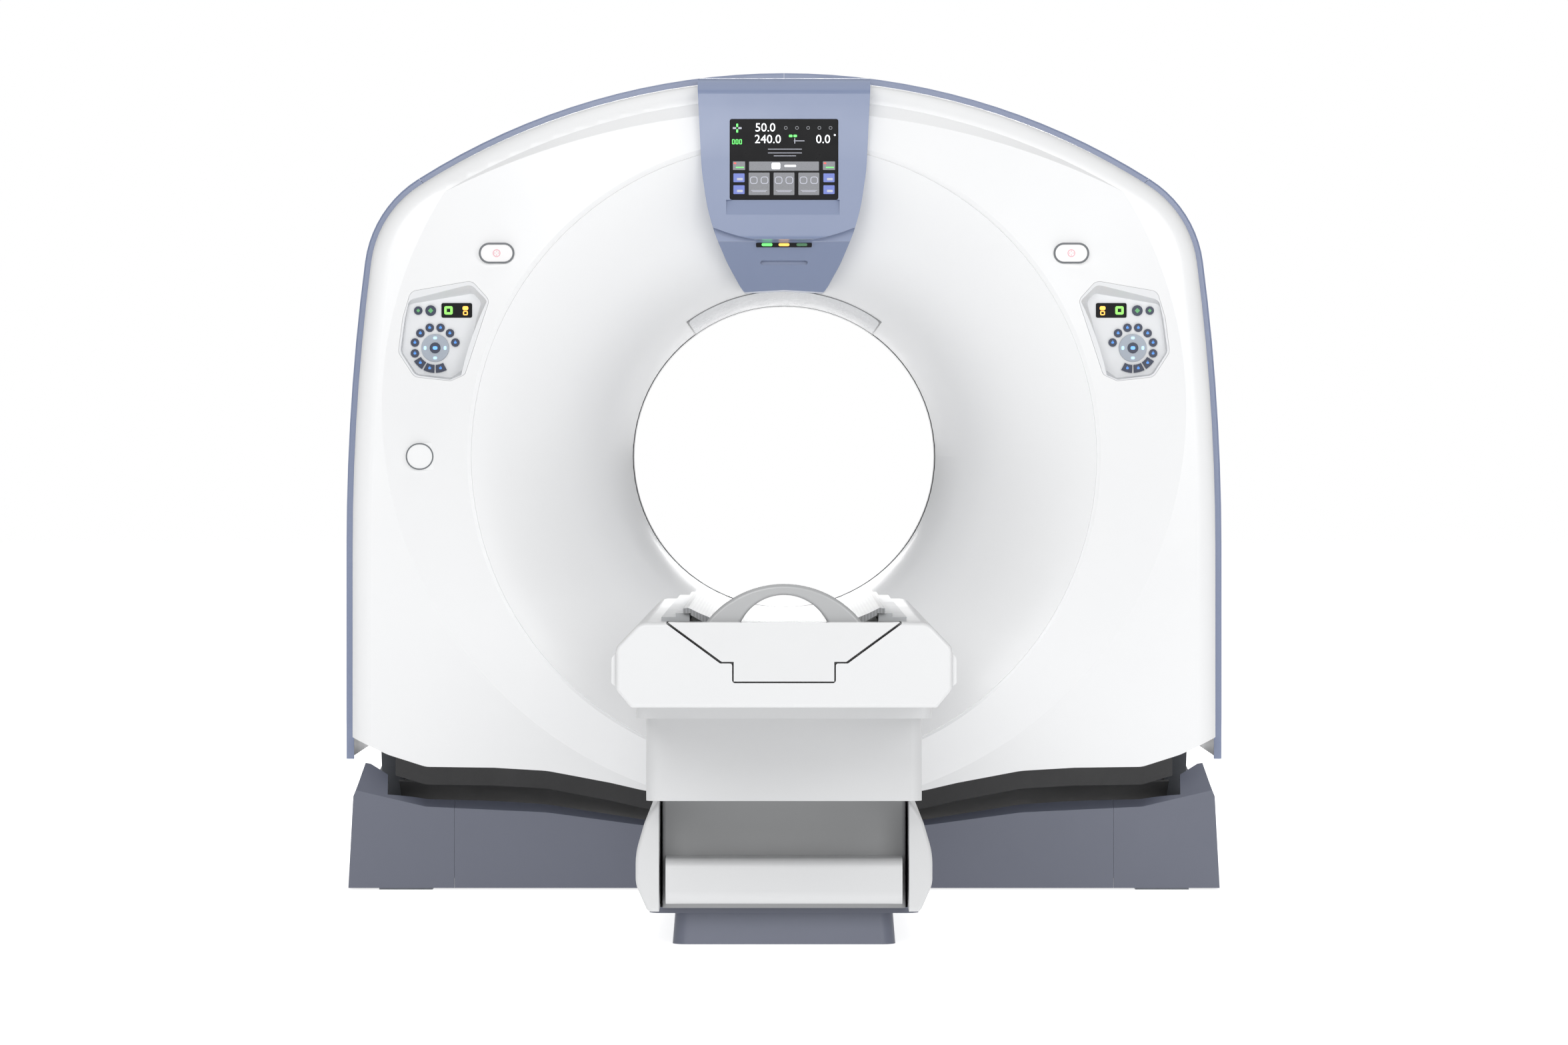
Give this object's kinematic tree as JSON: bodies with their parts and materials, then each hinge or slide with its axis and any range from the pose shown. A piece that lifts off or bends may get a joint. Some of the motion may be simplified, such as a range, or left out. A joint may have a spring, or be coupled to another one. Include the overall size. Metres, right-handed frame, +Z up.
{
  "type": "ct scanner",
  "caption": "Medical CT scanner: tilting ring gantry with a bell-mouthed bore and rotating drum, and a lifting patient table with a sliding cradle.",
  "frame": {"origin": "on the floor, at the centre of the gantry's four anchor holes, under the bore axis", "axes": "+Z up, +Y along the bore from the patient table towards the rear of the gantry, +X to the right seen from the table"},
  "size_m": [1.98, 3.237, 1.842],
  "materials": {
    "cover_white": "satin moulded cover",
    "rim_blue": "satin blue-grey cover",
    "base_blue": "satin dark blue-grey cover",
    "dark_rubber": "matte",
    "screen_black": "gloss black glass",
    "panel_grey": "fine matte",
    "button_grey": "soft matte",
    "key_blue": "soft matte",
    "clear_window": "clear film",
    "lamp_lens": "frosted lens",
    "table_grey": "satin grey",
    "carbon_dark": "carbon board",
    "frame_paint": "powder coat",
    "steel": "machined",
    "drum_cast": "machined casting",
    "box_paint": "satin enamel",
    "tube_paint": "satin enamel",
    "copper_ring": "turned",
    "belt_black": "matte"
  },
  "bodies": {
    "base": {"gantry_base_frame": "frame_paint", "tilt_bearings": "steel", "tilt_gearmotor": "frame_paint", "base_covers": "base_blue", "cable_duct": "table_grey", "table_plinth": "base_blue", "lift_column_outer": "steel", "pedestal_panel": "panel_grey", "lower_side_covers": "cover_white", "lower_front_cover": "cover_white"},
    "gantry": {"tilt_frame": "frame_paint", "tilt_sector": "steel", "front_cover": "cover_white", "rear_cover": "cover_white", "rim_covers": "rim_blue", "bore_window": "clear_window", "display_console": "rim_blue", "display_screens": "screen_black", "status_light_bar": "screen_black", "alignment_window": "clear_window", "gantry_lamps": "lamp_lens", "port_cover": "cover_white", "control_panels": "panel_grey", "keypad_keys": "key_blue", "front_bumper": "dark_rubber", "belly_pan": "dark_rubber", "bearing_outer_race": "steel", "rotor_motor": "frame_paint", "drive_belt": "belt_black", "brush_block": "belt_black"},
    "drum": {"rotor_drum": "drum_cast", "bearing_inner_race": "steel", "slip_ring": "copper_ring", "xray_tube": "tube_paint", "collimator": "box_paint", "detector_arc": "box_paint", "hv_generator": "box_paint", "heat_exchanger": "box_paint", "drum_electronics": "box_paint", "balance_weight": "box_paint"},
    "drum_bearing_cage": {"bearing_cage": "steel"},
    "pinion": {"tilt_pinion": "steel"},
    "belt_pulley": {"motor_pulley": "steel"},
    "table_top": {"table_body_cover": "cover_white", "table_side_strips": "table_grey", "table_skirt": "cover_white", "table_frame": "frame_paint", "cradle_rails": "table_grey", "lift_cover_inner": "cover_white", "lift_column_inner": "steel", "cradle_drive_mount": "steel"},
    "lift_middle": {"lift_column_middle": "steel", "lift_cover_upper": "cover_white"},
    "cradle": {"cradle_board": "carbon_dark", "cradle_end_cap": "cover_white"},
    "drive_wheel": {"cradle_drive_wheel": "belt_black"},
    "direction_left": {"direction_button_left": "button_grey"},
    "direction_right": {"direction_button_right": "button_grey"},
    "select_left": {"select_button_left": "key_blue"},
    "select_right": {"select_button_right": "key_blue"}
  },
  "joints": [
    {"name": "gantry_tilt", "type": "hinge", "parent": "base", "child": "gantry", "pos_m": [0, 0, 0.975], "axis": [1, 0, 0], "range_deg": [-30, 30]},
    {"name": "pinion_turn", "type": "hinge", "parent": "base", "child": "pinion", "pos_m": [-0.862, 0, 0.711], "axis": [1, 0, 0], "range_deg": [-310, 310]},
    {"name": "drum_spin", "type": "hinge", "parent": "gantry", "child": "drum", "pos_m": [0, 0, 0.975], "axis": [0, 1, 0], "continuous": true},
    {"name": "bearing_cage_spin", "type": "hinge", "parent": "gantry", "child": "drum_bearing_cage", "pos_m": [0, 0.125, 0.975], "axis": [0, 1, 0], "continuous": true},
    {"name": "belt_pulley_spin", "type": "hinge", "parent": "gantry", "child": "belt_pulley", "pos_m": [0.66016, 0, 1.45463], "axis": [0, 1, 0], "continuous": true},
    {"name": "table_lift", "type": "slide", "parent": "base", "child": "table_top", "axis": [0, 0, 1], "range_m": [-0.14, 0.2]},
    {"name": "lift_middle_travel", "type": "slide", "parent": "base", "child": "lift_middle", "axis": [0, 0, 1], "range_m": [-0.071, 0.101]},
    {"name": "cradle_travel", "type": "slide", "parent": "table_top", "child": "cradle", "axis": [0, 1, 0], "range_m": [0, 1.65]},
    {"name": "drive_wheel_turn", "type": "hinge", "parent": "table_top", "child": "drive_wheel", "pos_m": [0, -0.97, 0.5997], "axis": [1, 0, 0], "range_deg": [-3200, 3200]},
    {"name": "direction_left_press", "type": "slide", "parent": "gantry", "child": "direction_left", "axis": [0, 1, 0], "range_m": [0, 0.0012], "stiffness_N_per_m": 900, "springref_m": -0.0005},
    {"name": "select_left_press", "type": "slide", "parent": "gantry", "child": "select_left", "axis": [0, 1, 0], "range_m": [0, 0.0012], "stiffness_N_per_m": 600, "springref_m": -0.0005},
    {"name": "direction_right_press", "type": "slide", "parent": "gantry", "child": "direction_right", "axis": [0, 1, 0], "range_m": [0, 0.0012], "stiffness_N_per_m": 900, "springref_m": -0.0005},
    {"name": "select_right_press", "type": "slide", "parent": "gantry", "child": "select_right", "axis": [0, 1, 0], "range_m": [0, 0.0012], "stiffness_N_per_m": 600, "springref_m": -0.0005}
  ],
  "couplings": [
    {"joint": "pinion_turn", "follows": "gantry_tilt", "ratio": -10},
    {"joint": "bearing_cage_spin", "follows": "drum_spin", "ratio": 0.4956},
    {"joint": "belt_pulley_spin", "follows": "drum_spin", "ratio": 17.5},
    {"joint": "lift_middle_travel", "follows": "table_lift", "ratio": 0.5},
    {"joint": "drive_wheel_turn", "follows": "cradle_travel", "rad_per_m": -33.333}
  ]
}
